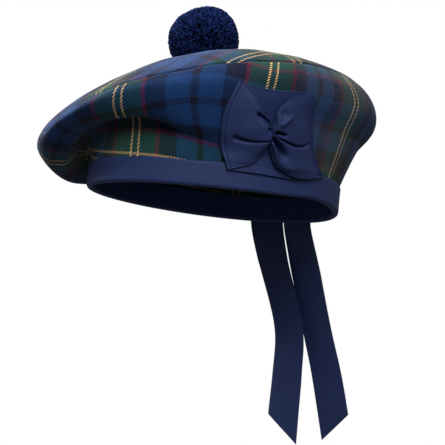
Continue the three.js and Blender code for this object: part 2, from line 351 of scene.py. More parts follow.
def roundLine(rows, degrees):
    # a closed smooth line through rows set evenly round the axis
    rows = np.asarray(rows, float)
    place = np.asarray(degrees, float) / 360 % 1 * len(rows)
    index = np.floor(place).astype(int)
    share = (place - index)[..., None]
    a, b, c, d = (rows[(index + k) % len(rows)] for k in (-1, 0, 1, 2))
    bend = (2 * a - 5 * b + 4 * c - d) * share**2 + (3 * b - a - 3 * c + d) * share**3
    return b + 0.5 * ((c - a) * share + bend)


def splineThrough(points, samples):
    # a centripetal spline through each row of points, shaped (rows, points, axes)
    points = np.asarray(points, float)
    first = 2 * points[:, :1] - points[:, 1:2]
    last = 2 * points[:, -1:] - points[:, -2:-1]
    points = np.concatenate([first, points, last], axis=1)
    gaps = np.linalg.norm(np.diff(points, axis=1), axis=2)[..., None, None] ** 0.5
    gaps = np.maximum(gaps, 1e-6)
    share = (np.arange(samples) / samples)[None, :, None]
    pieces = []
    for index in range(1, points.shape[1] - 2):
        p0, p1, p2, p3 = (points[:, index + k][:, None] for k in (-1, 0, 1, 2))
        g0, g1, g2 = (gaps[:, index + k] for k in (-1, 0, 1))
        leave = ((p1 - p0) / g0 - (p2 - p0) / (g0 + g1) + (p2 - p1) / g1) * g1
        arrive = ((p2 - p1) / g1 - (p3 - p1) / (g1 + g2) + (p3 - p2) / g2) * g1
        square = (3 * (p2 - p1) - 2 * leave - arrive) * share**2
        cube = (2 * (p1 - p2) + leave + arrive) * share**3
        pieces.append(p1 + leave * share + square + cube)
    pieces.append(points[:, -2:-1])
    return np.concatenate(pieces, axis=1)


def runLength(line):
    steps = np.linalg.norm(np.diff(line, axis=-2), axis=-1)
    return np.concatenate([np.zeros(steps.shape[:-1] + (1,)), np.cumsum(steps, axis=-1)], axis=-1)


def readLine(line, length, places):
    return stacked(*(np.interp(places, length, column) for column in line.T))


def evenLine(points, shares, scale=1.0):
    # a smooth line through a short table, read at shares of its length
    line = splineThrough(np.asarray(points, float)[None], lineSteps)[0]
    length = runLength(line * scale)
    return readLine(line, length, np.asarray(shares) * length[-1])


def sheetNormals(points, wrap=False):
    if wrap:
        across = np.roll(points, -1, axis=1) - np.roll(points, 1, axis=1)
    else:
        across = np.gradient(points, axis=1)
    return unit(np.cross(across, np.gradient(points, axis=0)))


def sheetMesh(points, uv, wall, wrap=False, pole=False):
    # cloth as a closed shell: rows of points on its outer face, its inner face one wall behind;
    # wrap joins the last column to the first, pole shrinks the last row to one point
    rows, columns = points.shape[:2]
    normals = sheetNormals(points, wrap)
    if pole:
        normals[-1] = unit(normals[-2].mean(axis=0))
    count = (rows - 1) * columns + 1 if pole else rows * columns
    outer = points.reshape(-1, 3)[:count]
    inner = (points - normals * wall).reshape(-1, 3)[:count]

    def vertex(row, column):
        return count - 1 if pole and row == rows - 1 else row * columns + column % columns

    faces = []
    uvs = []
    last = columns if wrap else columns - 1
    for row in range(rows - 1):
        for column in range(last):
            corners = [(row, column), (row, column + 1), (row + 1, column + 1), (row + 1, column)]
            if pole and row == rows - 2:
                corners.pop()
            face = [vertex(*corner) for corner in corners]
            faces.append(face)
            faces.append([count + index for index in reversed(face)])
            faceUvs = [uv[corner] for corner in corners]
            uvs.extend(faceUvs + faceUvs[::-1])
    edges = [[(0, column) for column in range(last, -1, -1)]]
    if not pole:
        edges.append([(rows - 1, column) for column in range(last + 1)])
    if not wrap:
        edges.append([(row, 0) for row in range(rows)])
        edges.append([(row, last) for row in range(rows - 1, -1, -1)])
    for edge in edges:
        for a, b in zip(edge, edge[1:]):
            faces.append([vertex(*a), vertex(*b), count + vertex(*b), count + vertex(*a)])
            uvs.extend([uv[a], uv[b], uv[b], uv[a]])
    return np.concatenate([outer, inner]), faces, uvs


def ringsAbout(ways, angles):
    # the points at these angles of a unit circle square to each way
    upright = np.abs(ways[:, 2:]) > 0.9
    first = unit(np.cross(ways, np.where(upright, [[1.0, 0, 0]], [[0, 0, 1.0]])))
    second = np.cross(ways, first)
    return np.cos(angles)[..., None] * first[:, None] + np.sin(angles)[..., None] * second[:, None]


def tubeMesh(line, radius, sides=6):
    # a closed tube along a line; radius is one number or one for each point
    count = len(line)
    rings = ringsAbout(unit(np.gradient(line, axis=0)), np.arange(sides) / sides * 2 * math.pi)
    radii = np.broadcast_to(radius, (count,))[:, None, None]
    vertices = (line[:, None] + rings * radii).reshape(-1, 3)
    along = runLength(line) / mmPerCm
    sideWidth = 0.1  # on the cloth coordinates
    faces = [list(reversed(range(sides))), [(count - 1) * sides + side for side in range(sides)]]
    uvs = [(along[0], 0.0)] * sides + [(along[-1], 0.0)] * sides
    for row in range(count - 1):
        low, high = row * sides, (row + 1) * sides
        start, end = along[row], along[row + 1]
        for side in range(sides):
            after = (side + 1) % sides
            faces.append([low + side, low + after, high + after, high + side])
            uvs.extend([(start, 0.0), (start, sideWidth), (end, sideWidth), (end, 0.0)])
    return vertices, faces, uvs


stitch = {
    "length": 1.7,
    "gap": 1.1,
    "radius": 0.18,
    "profile": (0.5, 1.0, 1.1, 1.0, 0.5),  # thinner where it dips into the cloth
    "sides": 5,
    "raised": 0.1,
}


def stitchRow(line, normals):
    # running stitches along a line of the cloth
    line = line + normals * stitch["raised"]
    length = runLength(line)
    radii = stitch["radius"] * np.array(stitch["profile"])
    start = stitch["gap"]
    stitches = []
    while start + stitch["length"] < length[-1] - stitch["gap"]:
        places = np.linspace(start, start + stitch["length"], len(radii))
        stitches.append(tubeMesh(readLine(line, length, places), radii, stitch["sides"]))
        start += stitch["length"] + stitch["gap"]
    return stitches


def newPiece(name, node, slot, meshes, stitches=(), sharpAngle=50):
    # one piece out of meshes in the material of its slot and stitches in thread
    vertices = []
    faces = []
    uvs = []
    start = 0
    for meshVertices, meshFaces, meshUvs in [*meshes, *stitches]:
        vertices.extend((meshVertices * mm).tolist())
        faces.extend([start + corner for corner in face] for face in meshFaces)
        uvs.extend(meshUvs)
        start += len(meshVertices)
    data = bpy.data.meshes.new(name)
    data.from_pydata(vertices, [], faces)
    data.uv_layers.new(name="cloth").data.foreach_set("uv", np.asarray(uvs, np.float32).ravel())
    data.materials.append(slotMaterials[slot])
    if stitches:
        data.materials.append(navyThread)
    ownFaces = sum(len(meshFaces) for meshVertices, meshFaces, meshUvs in meshes)
    data.polygons.foreach_set("material_index", [0] * ownFaces + [1] * (len(faces) - ownFaces))
    data.polygons.foreach_set("use_smooth", [True] * len(faces))
    data.set_sharp_from_angle(angle=math.radians(sharpAngle))
    piece = addObject(name, data)
    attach(piece, "root")
    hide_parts(node)
    return piece


# The crown's form: the solid's sections, with small changes to the front, the low side and the top
head = {"length": 193, "width": 160}
crown = {
    "middle": (-21, -1.5, 91.5),
    # every 30 degrees from the front by the wearer's left: the heights of the band's edges, then the
    # distance from the axis and the height of wall, fold, rim and shoulder, then the top's height
    # halfway to the middle
    "sections": [
        ((0, 16), (98.5, 43.5), (112, 42), (123, 59), (101, 77), 93.5),
        ((0, 16), (96, 28), (103, 38), (113, 69), (93, 91.7), 98.5),
        ((1.2, 18.5), (91, 34), (97, 52), (105, 74), (89, 94.7), 99.3),
        ((3.6, 21), (88, 34), (94, 52), (103, 75), (88, 95), 99),
        ((1.4, 21), (91, 32), (98, 50), (109, 71), (95, 91), 97),
        ((0, 19), (99, 32), (105, 46), (117, 63), (101, 84), 93),
        ((0, 18), (104, 30), (111, 40), (124, 54), (106, 75), 89),
        ((0, 17), (99, 28), (110, 28), (127, 42), (109, 66), 85),
        ((0, 16), (92, 26), (106, 18), (127, 33), (110, 59), 82),
        ((0, 16), (89, 25), (105, 10), (127, 27), (109, 54), 80),
        ((0, 16), (90, 26), (106, 8), (128, 26), (114, 51.5), 80),
        ((0, 16), (97, 37), (110, 32), (126, 38), (105.5, 61), 86.5),
    ],
    "topShare": 0.5,
    "capShare": 0.2,
    "capSlope": 0.25,
    # the seam between side and top, as a share of the way from rim to shoulder
    "seam": [0.27, 0.5, 0.78, 0.9, 0.85, 0.6, 0.45, 0.4, 0.35, 0.3, 0.25, 0.35],
    "seamDepth": 0.8,
    "seamWidth": 1.0,
    "outward": 3.3,  # of its lower edge, which stands inside the band
    "lowerEdge": 2.7,  # above the band's lower edge
    "wall": 1.8,
    # puckers where it is eased into the band; they set in and fade over these rises
    "easing": {"count": 61, "height": 0.3, "start": 3, "fade": 7},
    "slackFade": (2, 25),  # the rises over the band between which the slack sets in
    # slack of the soft cloth: waves round, waves along the rise, start and height
    "slack": [
        (3, 0.031, 0.4, 0.3), (5, -0.047, 1.9, 0.22), (8, 0.083, 4.1, 0.16),
        (13, -0.11, 2.6, 0.1), (21, 0.17, 5.2, 0.06),
    ],
    "columnStep": 3,  # its mesh takes every third line of the cloth
    "bandRows": 8,
    # two runs of rows, which meet at this share of the way
    "sideRows": (62, 11, 0.93),
    "topRows": (11, 48, 0.05),
}
riseLevel = 15  # rises are measured along the cloth from this height
riseSpan = (-12, 80)
degreeStep, riseStep = 0.5, 0.5


def aroundAxis(degrees, distance, height):
    angle = np.radians(degrees)
    return stacked(distance * np.sin(angle), -distance * np.cos(angle), height)


def ovalDistance(degrees, outward):
    angle = np.radians(degrees)
    across = np.sin(angle) / (head["width"] / 2 + outward)
    along = np.cos(angle) / (head["length"] / 2 + outward)
    return 1 / np.hypot(across, along)


def bandEdges(degrees):
    edges = roundLine([row[0] for row in crown["sections"]], degrees)
    return edges[..., 0], edges[..., 1]


def crownSections(degrees):
    middle = np.array(crown["middle"])
    *guides, tops = (np.array(column, float) for column in list(zip(*crown["sections"]))[1:])
    turns = np.arange(len(tops)) * 360 / len(tops)
    lines = [aroundAxis(turns, *guide.T) for guide in guides]
    shoulder = lines[-1]
    caps = middle[2] + (tops - middle[2]) * crown["capSlope"]
    for share, heights in ((crown["topShare"], tops), (crown["capShare"], caps)):
        line = middle + (shoulder - middle) * share
        line[:, 2] = heights
        lines.append(line)
    foot = aroundAxis(degrees, ovalDistance(degrees, crown["outward"]), bandEdges(degrees)[1])
    points = [foot, *(roundLine(line, degrees) for line in lines), np.broadcast_to(middle, foot.shape)]
    return splineThrough(np.stack(points, axis=1), lineSteps)


clothDegrees = np.arange(-180, 180 + degreeStep, degreeStep)
clothLines = crownSections(clothDegrees)
clothRises = runLength(clothLines) + bandEdges(clothDegrees)[1][:, None] - riseLevel
tableRises = np.arange(*riseSpan, riseStep)
# points of the crown's cloth by degrees and rise, for the pieces laid on it; under the band's top the
# cloth stands upright
clothTable = np.stack([readLine(line, rises, tableRises) for line, rises in zip(clothLines, clothRises)])
clothTable[..., 2] += np.minimum(tableRises - clothRises[:, :1], 0)


def onCloth(degrees, rise):
    column = (np.asarray(degrees, float) - clothDegrees[0]) / degreeStep
    row = (np.asarray(rise, float) - tableRises[0]) / riseStep
    i, j = column.astype(int), row.astype(int)
    a, b = (column - i)[..., None], (row - j)[..., None]
    near = clothTable[i, j] * (1 - b) + clothTable[i, j + 1] * b
    far = clothTable[i + 1, j] * (1 - b) + clothTable[i + 1, j + 1] * b
    return near * (1 - a) + far * a


def overCloth(degrees, rise, lift):
    reach = 1.5
    along = onCloth(degrees + reach, rise) - onCloth(degrees - reach, rise)
    upward = onCloth(degrees, rise + reach) - onCloth(degrees, rise - reach)
    return onCloth(degrees, rise) + unit(np.cross(along, upward)) * lift[..., None]


# The tartan's lie, counted in half setts: whole numbers are its dark and its yellow middles in turn.
# The first table gives the degrees at which each place of the warp crosses three rises, the second the
# rises at which four places of the weft lie at some degrees.
sideSett = {
    "rises": (10, 42, 60),
    "carry": 1.2,  # how far the slant between the lower two is carried on downwards
    "warp": [
        (-7.8, -180, -180, -180), (-5, -104, -104, -106), (-4, -78, -76, -84), (-3, -58, -51.6, -58.5),
        (-2.36, -41, -39.2, -43.5), (-2, -31.5, -31.5, -31), (-1.36, -15.6, -17, -13.7),
        (-1, -3.5, -6.2, -3.9), (-0.64, 6.9, 5.3, 5.3), (0, 24, 21.6, 21.4), (0.64, 39, 37.5, 38.5),
        (1, 49, 46.2, 48.2), (1.36, 59, 55.8, 57.6), (2.64, 87, 83.5, 83), (3, 101.5, 96.2, 94),
        (4, 121, 119, 119), (6.5, 180, 180, 180),
    ],
    # the warp is drawn forward in the fold under the low side
    "drawn": {"shift": 7.4, "degrees": -50, "degreeReach": 14, "rise": 28.5, "riseReach": 9.5},
    "places": (-1, -0.64, 0, 0.64),
    "weft": [
        (-180, 4, 20, 44.5, 75), (-60, 14, 28, 47, 77), (-40, 7.5, 23, 44.5, 75), (-32, 4.9, 22, 45, 76),
        (-21, 2.5, 21.5, 46, 78), (-11, 0.9, 21, 46.5, 79), (-2, -0.2, 20.7, 46.8, 80),
        (7, -1, 20, 46.8, 80), (14, -2, 18, 46.2, 80), (25, -4, 13.8, 44, 78), (31, -5, 12.5, 43, 77),
        (50, -5, 11, 40, 70), (60, -4, 11, 39.5, 73), (80, -3, 12, 39, 74), (95, -2, 13, 40, 75),
        (180, 4, 20, 44.5, 75),
    ],
}
topSett = {"halfSetts": (40, 54), "turn": -8, "warpPair": 73.9, "weftPair": -32}


def betweenLines(lines, places, value):
    # the place of a value among a row of lines, carried on beyond the first and the last of them
    result = np.zeros_like(value)
    for index, (low, high) in enumerate(zip(lines, lines[1:])):
        start, end = places[index], places[index + 1]
        here = start + (end - start) * (value - low) / (high - low)
        result = np.where((value >= low) | (index == 0), here, result)
    return result


def sidePlaces(degrees, rise):
    warpPlaces, *crossings = zip(*sideSett["warp"])
    low, middle, high = sideSett["rises"]
    lines = []
    for a, b, c in zip(*crossings):
        upper = b + (c - b) * (rise - middle) / (high - middle)
        lower = b + (a - b) * np.minimum((middle - rise) / (middle - low), sideSett["carry"])
        lines.append(np.where(rise > middle, upper, lower))
    weftDegrees, *weftRises = zip(*sideSett["weft"])
    weftLines = [np.interp(degrees, weftDegrees, row) for row in weftRises]
    drawn = sideSett["drawn"]
    inFold = hump(degrees - drawn["degrees"], drawn["degreeReach"])
    inFold = inFold * hump(rise - drawn["rise"], drawn["riseReach"])
    warp = betweenLines(lines, warpPlaces, degrees - drawn["shift"] * inFold)
    return stacked(warp, betweenLines(weftLines, sideSett["places"], rise))


def topPlaces(flat):
    turn = math.radians(topSett["turn"])
    across = flat[..., 0] * math.cos(turn) + flat[..., 1] * math.sin(turn)
    along = flat[..., 1] * math.cos(turn) - flat[..., 0] * math.sin(turn)
    warpWidth, weftWidth = topSett["halfSetts"]
    warp = (across - topSett["warpPair"]) / warpWidth + 1
    weft = (along - topSett["weftPair"]) / weftWidth + 1
    return stacked(warp, weft)


def twoRuns(first, second, change):
    # shares from 0 to 1 in two even runs that meet at the change
    return np.concatenate([np.linspace(0, change, first), np.linspace(change, 1, second)[1:]])[:, None]


def makeCrown():
    # the first and the last column are the same line of the cloth, at the back
    step = crown["columnStep"]
    degrees, lines, rises = (table[::step] for table in (clothDegrees, clothLines, clothRises))
    angle = np.radians(degrees)
    bandLow, bandHigh = bandEdges(degrees)
    rim, shoulder = 3 * lineSteps, 4 * lineSteps
    seamPlace = rim + (shoulder - rim) * roundLine(np.array(crown["seam"])[:, None], degrees)[:, 0]
    indices = np.arange(lines.shape[1])
    seamRise = np.array([np.interp(place, indices, line) for place, line in zip(seamPlace, rises)])
    footRise, middleRise = rises[:, 0], rises[:, -1]

    def dressed(gridRises):
        points = np.stack([readLine(*row) for row in zip(lines, rises, gridRises.T)], axis=1)
        normals = sheetNormals(points[:, :-1], wrap=True)
        normals = np.concatenate([normals, normals[:, :1]], axis=1)
        above = gridRises - footRise
        slack = np.zeros_like(above)
        for waves, run, start, height in crown["slack"]:
            slack += height * np.sin(waves * angle + run * gridRises + start)
        easing = crown["easing"]
        puckers = easing["height"] * np.sin(easing["count"] * angle) * np.exp(-above / easing["fade"])
        puckers = puckers * smoothstep(above, 0, easing["start"])
        groove = crown["seamDepth"] * hump(gridRises - seamRise, crown["seamWidth"])
        moved = slack * smoothstep(above, *crown["slackFade"]) + puckers - groove
        return points + normals * moved[..., None]

    inBand = np.linspace(0, 1, crown["bandRows"], endpoint=False)[:, None]
    sideShares, topShares = twoRuns(*crown["sideRows"]), twoRuns(*crown["topRows"])
    footHeights = bandLow + crown["lowerEdge"] + (bandHigh - bandLow - crown["lowerEdge"]) * inBand
    foot = aroundAxis(degrees, ovalDistance(degrees, crown["outward"]), footHeights)
    sideRises = footRise + sideShares * (seamRise - footRise)
    side = np.concatenate([foot, dressed(sideRises)])
    allRises = np.concatenate([footHeights - riseLevel, sideRises])
    places = sidePlaces(np.broadcast_to(degrees, allRises.shape), allRises)
    mesh = sheetMesh(side[:, :-1], places, crown["wall"], wrap=True)
    sidePiece = newPiece("crown_side", "crown", "tartan_wool", [mesh])

    topRises = seamRise + topShares * (middleRise - seamRise)
    top = dressed(topRises)
    top[-1] = crown["middle"]
    middle = np.array(crown["middle"][:2])
    ways = unit(lines[:, shoulder, :2] - middle)
    places = topPlaces(middle + ways * (middleRise - topRises)[..., None])
    mesh = sheetMesh(top[:, :-1], places, crown["wall"], wrap=True, pole=True)
    topPiece = newPiece("crown_top", "crown", "tartan_wool", [mesh])
    return sidePiece, topPiece


crownSide, crownTop = makeCrown()
print("crown made")

# The band: a ribbon folded up on both sides of the crown's lower edge
band = {
    "rollRadius": 2.3,
    "innerTop": 18,
    "wall": 0.9,
    "columns": 240,
    # rows of the inner leg, the roll and the outer leg: a pair is the last row's share and the count
    "innerRows": (0.9, 11),
    "rollRows": 14,
    "outerRows": (0.94, 16),
    "edgeRows": (0.97, 1.0),  # shares of the last two rows, close to the upper edge
    # unevenness of its outer face and of its upper edge
    "waver": {"height": 0.2, "waves": 7, "start": 0.6, "pitch": 5, "slant": 3},
    "edgeWaver": {"height": 0.25, "waves": 11, "start": 1},
    "pressed": (0.35, 1.2),  # how far the sewn upper edge is drawn in, and over what height
    "dip": (1.5, 60),  # of its lower edge at the front, and over how many degrees it fades
}


def makeBand():
    degrees = np.linspace(-180, 180, band["columns"] + 1)
    angle = np.radians(degrees)
    low, high = bandEdges(degrees)
    low = low - band["dip"][0] * hump(degrees, band["dip"][1])
    radius = band["rollRadius"]
    rollTop = low + radius
    level = np.zeros_like(degrees)
    rows = []
    for share in np.linspace(0, *band["innerRows"]):
        rows.append((level, band["innerTop"] + (rollTop - band["innerTop"]) * share))
    for turn in np.linspace(0, math.pi, band["rollRows"], endpoint=False):
        rows.append((level + radius * (1 - math.cos(turn)), rollTop - radius * math.sin(turn)))
    for share in [*np.linspace(0, *band["outerRows"]), *band["edgeRows"]]:
        rows.append((level + 2 * radius, rollTop + (high - rollTop) * share))
    outward, height = (np.stack(column) for column in zip(*rows))
    outerFace = smoothstep(outward, radius, 2 * radius)
    waver, edgeWaver = band["waver"], band["edgeWaver"]
    swing = np.sin(waver["waves"] * angle + waver["start"])
    swing = swing * np.sin(height / waver["pitch"] + waver["slant"] * angle)
    depth, reach = band["pressed"]
    pressed = depth * smoothstep(height - high, -reach, 0)
    outward = outward + outerFace * (waver["height"] * np.abs(swing) - pressed)
    climb = outerFace * smoothstep(height, rollTop, high)
    edgeSwing = np.sin(edgeWaver["waves"] * angle + edgeWaver["start"])
    height = height + climb * edgeWaver["height"] * edgeSwing
    points = aroundAxis(degrees, ovalDistance(degrees, outward), height)
    along = runLength(aroundAxis(degrees, ovalDistance(degrees, 2 * radius), 0))
    across = runLength(points.swapaxes(0, 1)).T
    mesh = sheetMesh(points[:, :-1], stacked(along, across) / mmPerCm, band["wall"], wrap=True)
    return newPiece("band_ribbon", "band", "navy_ribbon", [mesh])


bandRibbon = makeBand()
print("band made")

# The cockade: a square panel of ribbon, and a bow pinched together at its middle. Places are degrees
# from the front and rise along the cloth. Each outline runs from the pinch outwards or upwards.
cockade = {
    "panelBottom": [(35.5, -3), (51, -2.5), (64.5, -2), (78, 1), (90.5, 6)],
    "panelTop": [(36, 57), (42.5, 55.5), (49.5, 55.5), (57.5, 57), (66.5, 58.5)],
    "panelLeft": [(35.5, -3), (36.5, 26.5), (36, 57)],
    "panelRight": [(90.5, 6), (81.5, 14), (75.5, 25), (66.5, 58.5)],
    "leftLower": [(51, 23.5), (50.5, 18.5), (48.5, 10.5), (45.5, 5.5), (41, 0.5), (35.5, -3)],
    "leftUpper": [
        (50.4, 33.2), (48.2, 37.2), (45.8, 40.8), (43.5, 44.6), (42, 49.5), (38.5, 55), (36, 57.5),
    ],
    "leftEnd": [(35.5, -3), (32.5, 12), (31.5, 26), (32.3, 40), (36, 57.5)],
    "rightLower": [
        (51, 23.5), (51.7, 18.5), (52.6, 14), (54.8, 8), (58.2, 3.5), (62, 1), (68, -0.5), (80, 2),
        (89, 5.5),
    ],
    "rightUpper": [
        (50.4, 33.2), (51.3, 36.5), (51.1, 40), (51.6, 43.8), (53, 47.5), (55.2, 51.8), (59.5, 55.2),
        (65.5, 58.5),
    ],
    "rightEnd": [(89, 5.5), (81, 13), (76, 21.5), (71, 34.5), (67, 49), (65.5, 58.5)],
    "pinch": (50.2, 29.5),
    "degreeWidth": 1.87,  # of cloth in one degree there
    "wall": 0.8,
    "panelLift": 1.5,  # of the panel's face over the crown
    "bandStep": 1.3,  # and more over the band
    "stepFade": (1, 10),  # the heights over the band between which that fades
    "bowLift": 1.1,  # of the bow's face over the panel's
    "loft": 6.0,  # how far the lobes puff up
    "pinchLoft": 3.0,
    "edgeFall": 0.95,  # share of the puff lost at the ribbon's long edges
    "grid": (110, 120),  # columns in each half of the bow, rows
    "panelGrid": (56, 56),
    "halfWidth": 30,  # of the bow's ribbon
    "selvedge": 0.4,
    "hemInset": 2.4,
    "hemDepth": 0.5,
    "hemWidth": 0.5,
    # creases: line, depth, half widths at the line's two ends, how far the cloth above hangs over, and
    # the shares of the line over which it fades in and out; a depth below 0 makes a ridge
    "creases": [
        ([(42.2, 41), (46, 37.5), (49, 33.8), (50.6, 32.2)], 6.0, (1.3, 1.5), 0.8, (0.3, 0.01)),
        ([(35.5, 22.2), (40, 21.4), (44.9, 21.7), (50.8, 23.6)], 5.0, (1.5, 0.5), 1.2, (0.12, 0.01)),
        ([(47, 30.8), (48.8, 30.4), (50.4, 29.8)], 5.5, (1.2, 1.0), 0.3, (0.4, 0.01)),
        ([(50.6, 29.5), (53.8, 29.3), (57.4, 27.5)], 5.0, (1.0, 0.7), 0.6, (0.01, 0.3)),
        (
            [
                (50.8, 27.9), (53.7, 26.1), (56.1, 24.8), (60, 23.2), (64, 22.4), (68.7, 23.3),
                (73.8, 26.3),
            ],
            5.0, (0.8, 0.8), 1.2, (0.01, 0.25),
        ),
        (
            [(50.8, 26), (53, 22), (55.2, 18.6), (58.3, 13.6), (60, 9.5)],
            7.5, (1.0, 3.0), 0.0, (0.01, 0.35),
        ),
        ([(51.9, 33.7), (54.9, 37.8), (57.3, 42.8), (56.9, 48)], -1.6, (1.2, 1.6), 0.0, (0.1, 0.5)),
    ],
    "easyBelow": 1.6,  # how much more gently the cloth rises below a crease than above it
    "overhangPlace": 1.3,  # how many half widths above a crease it hangs over most
    # soft swells, and hollows below 0: middle, height and radius
    "swells": [
        ((44, 47), 1.2, 6.0), ((41, 28.5), 1.0, 6.0), ((64, 34), 0.8, 7.0),
        ((53.7, 42.4), -2.0, 3.2), ((59.5, 10.5), -1.2, 4.0),
    ],
}
clothScale = np.array([cockade["degreeWidth"], 1.0])


def panelLift(degrees, rise):
    above = rise + riseLevel - bandEdges(degrees)[1]
    return cockade["panelLift"] + cockade["bandStep"] * (1 - smoothstep(above, *cockade["stepFade"]))


def patchBetween(lower, upper, start, end, columns, rows):
    # a smooth patch of places between four outlines
    u, v = np.linspace(0, 1, columns), np.linspace(0, 1, rows)
    bottom, top = evenLine(lower, u, clothScale)[None], evenLine(upper, u, clothScale)[None]
    first, last = evenLine(start, v, clothScale)[:, None], evenLine(end, v, clothScale)[:, None]
    u, v = u[None, :, None], v[:, None, None]
    lowerChord = (1 - u) * bottom[:, :1] + u * bottom[:, -1:]
    upperChord = (1 - u) * top[:, :1] + u * top[:, -1:]
    return (1 - v) * (bottom - lowerChord) + v * (top - upperChord) + (1 - u) * first + u * last


def distanceTo(places, line):
    # how far each place is from a line, whether it lies above it, and the share along it
    count = 40
    points = evenLine(line, np.linspace(0, 1, count), clothScale) * clothScale
    offsets = (places * clothScale)[..., None, :] - points
    distances = np.linalg.norm(offsets, axis=-1)
    nearest = distances.argmin(axis=-1)[..., None]
    above = np.take_along_axis(offsets[..., 1], nearest, axis=-1)[..., 0] > 0
    return distances.min(axis=-1), above, nearest[..., 0] / (count - 1)


def edged(mesh, *edges):
    return [mesh, *(tubeMesh(edge, cockade["selvedge"]) for edge in edges)]


def makePanel():
    outlines = [cockade["panel" + side] for side in ("Bottom", "Top", "Left", "Right")]
    grid = patchBetween(*outlines, *cockade["panelGrid"])
    degrees, rise = grid[..., 0], grid[..., 1]
    points = overCloth(degrees, rise, panelLift(degrees, rise))
    mesh = sheetMesh(points, grid * clothScale / mmPerCm, cockade["wall"])
    meshes = edged(mesh, points[0], points[-1], points[:, -1])
    return newPiece("cockade_panel", "cockade_backing", "navy_ribbon", meshes)


def bowHalf(side):
    columns, rows = cockade["grid"]
    lower, upper, end = (cockade[side + name] for name in ("Lower", "Upper", "End"))
    return patchBetween(lower, upper, [lower[0], cockade["pinch"], upper[0]], end, columns, rows)


def bowLoft(grid, out, across):
    puff = np.sin(math.pi * np.sqrt(out)) * (1 - cockade["edgeFall"] * across**4)
    loft = cockade["pinchLoft"] * (1 - out) ** 2 + cockade["loft"] * puff
    for middle, height, radius in cockade["swells"]:
        loft = loft + height * hump(np.linalg.norm((grid - middle) * clothScale, axis=-1), radius)
    sink, droop = np.zeros_like(loft), np.zeros_like(loft)
    for line, depth, (startWidth, endWidth), overhang, (fadeIn, fadeOut) in cockade["creases"]:
        far, above, share = distanceTo(grid, line)
        width = startWidth + (endWidth - startWidth) * share
        taper = smoothstep(share, 0, fadeIn) * (1 - smoothstep(share, 1 - fadeOut, 1))
        reach = np.where(above, width, width * cockade["easyBelow"])
        cut = taper * depth * hump(far, reach)
        loft = loft - np.minimum(cut, 0)
        sink = np.maximum(sink, cut)
        hanging = hump(far - cockade["overhangPlace"] * width, width) * above
        droop = droop + overhang * taper * hanging
    return np.maximum(loft - sink, 0), droop


def makeBow():
    left, right = bowHalf("left"), bowHalf("right")
    grid = np.concatenate([left[:, ::-1], right[:, 1:]], axis=1)
    columns, rows = cockade["grid"]
    halfOut = np.linspace(0, 1, columns)
    out, across = np.meshgrid(np.concatenate([halfOut[::-1], halfOut[1:]]), np.linspace(-1, 1, rows))
    loft, droop = bowLoft(grid, out, across)
    flatLength = runLength(grid[rows // 2] * clothScale)
    hems = [cockade["hemInset"], flatLength[-1] - cockade["hemInset"]]
    for hem in hems:
        loft = loft - cockade["hemDepth"] * hump(flatLength - hem, cockade["hemWidth"])
    degrees, rise = grid[..., 0], grid[..., 1] - droop
    points = overCloth(degrees, rise, panelLift(degrees, rise) + cockade["bowLift"] + loft)
    normals = sheetNormals(points)
    length = runLength(points[rows // 2])
    places = stacked(length, (across + 1) * cockade["halfWidth"]) / mmPerCm
    mesh = sheetMesh(points, places, cockade["wall"])
    meshes = edged(mesh, points[0], points[-1], points[:, 0], points[:, -1])
    stitches = []
    for hem in hems:
        column = int(np.abs(flatLength - hem).argmin())
        stitches += stitchRow(points[:, column], normals[:, column])
    return newPiece("cockade_bow_ribbon", "cockade_bow", "navy_ribbon", meshes, stitches)


cockadePanel = makePanel()
cockadeBow = makeBow()
print("cockade made")

# The toorie: cut yarn standing out of a round heart
toorie = {
    "radius": 24.4,
    "heart": 20.2,
    "root": 17.5,
    "gap": 0.3,  # over the crown's middle
    "strands": 9500,
    "strandSides": 4,
    "strandRadius": 0.4,
    "thickness": (0.85, 1.15),  # of one strand against another
    "rootShare": 0.8,  # of its radius, at the root
    "tip": 0.2,  # how far the middle of the cut end is raised
    "scatter": 0.008,
    "lean": 0.04,
    "toneFall": 1.8,  # the higher, the more of the strands are dark
    "unevenness": 0.3,  # of the trimmed ends
    "trimLimits": (-1.2, 0.6),
    # clumps of strands: height, its limit, and waves and start along each axis
    "clumping": 0.5,
    "clumpLimit": 0.5,
    "clumpWaves": [(9, 1), (8, 2), (7, 0)],
    # where it is fuller or flatter: azimuth, elevation and height
    "bulges": [
        (-60, 20, 0.6), (-60, 58, -0.7), (120, 62, 1.9), (120, 10, 0.7), (-60, -20, 0.6), (210, 20, 0.7),
    ],
    "bulgeWidth": 0.5,
    "footBelow": -0.8,  # the strands that point down more than this are cut short, off the crown
    "footTrim": 0.2,
    "heartGrid": (28, 16),
    "seed": 11,
}


def evenDirections(count):
    index = np.arange(count)
    height = 1 - (2 * index + 1) / count
    angle = index * math.pi * (3 - math.sqrt(5))
    flat = np.sqrt(1 - height**2)
    return stacked(flat * np.cos(angle), flat * np.sin(angle), height)


